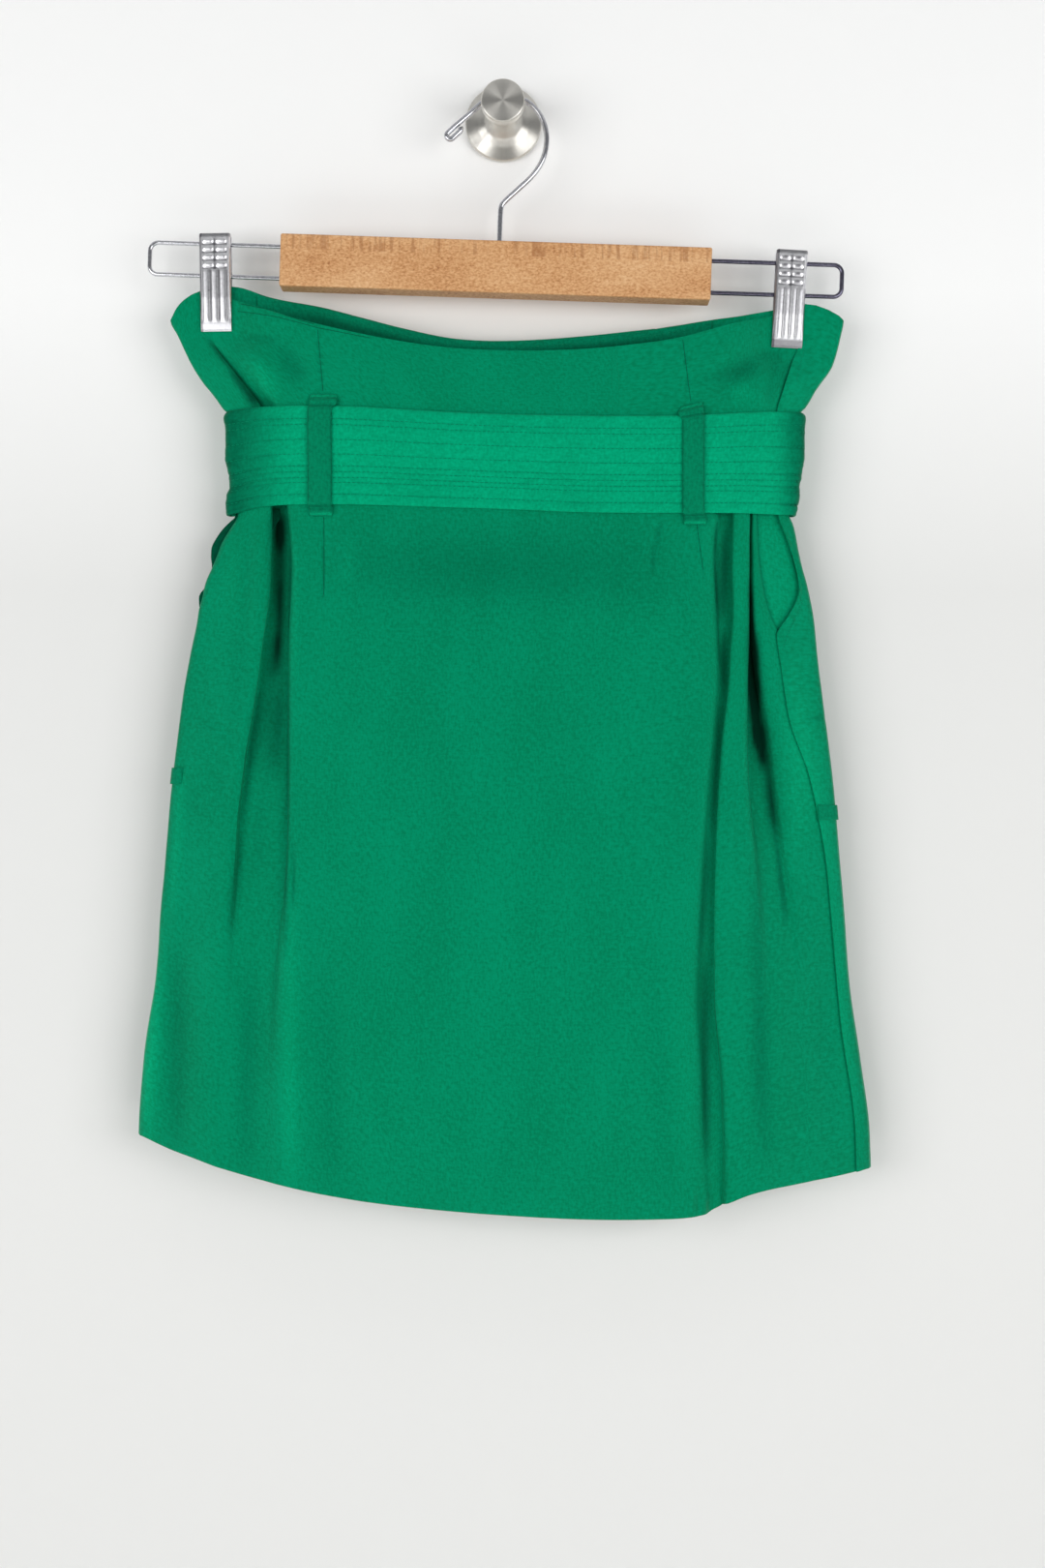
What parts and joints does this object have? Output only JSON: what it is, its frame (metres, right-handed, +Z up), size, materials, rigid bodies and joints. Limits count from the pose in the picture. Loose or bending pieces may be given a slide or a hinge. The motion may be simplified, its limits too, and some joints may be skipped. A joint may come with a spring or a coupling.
{
  "type": "wrap skirt on a clip hanger and wall peg",
  "caption": "Flared high-waisted wrap skirt with a standing frilled top, wide stitched belt and side pleats, hung by its top edge from a wood clip hanger on a wall peg.",
  "frame": {"origin": "centre of the wall peg's back face, on the wall, where the peg is fixed", "axes": "+X to the right as seen from the room, +Y into the wall, +Z up"},
  "size_m": [0.4353, 0.0432, 0.6757],
  "materials": {
    "satin": "satin sheen",
    "satin_shade": "satin sheen",
    "belt_satin": "satin sheen, stitched",
    "beech": "oiled",
    "chrome": "polished",
    "brushed_steel": "brushed, turned"
  },
  "bodies": {
    "root": {"back_panel": "satin", "front_wrap_over": "satin", "front_wrap_under": "satin_shade", "front_facing": "satin_shade", "belt": "belt_satin", "belt_loop_left": "satin", "belt_loop_right": "satin", "pocket_facing_right": "satin", "pocket_facing_left": "satin_shade", "seam_tab_right": "satin", "seam_tab_left": "satin", "hanger_bar": "beech", "hanger_arm_left": "chrome", "hanger_arm_right": "chrome", "hanger_hook": "chrome", "clip_left_front": "chrome", "clip_left_rear": "chrome", "clip_left_spring": "chrome", "clip_right_front": "chrome", "clip_right_rear": "chrome", "clip_right_spring": "chrome", "wall_peg": "brushed_steel"}
  },
  "joints": []
}
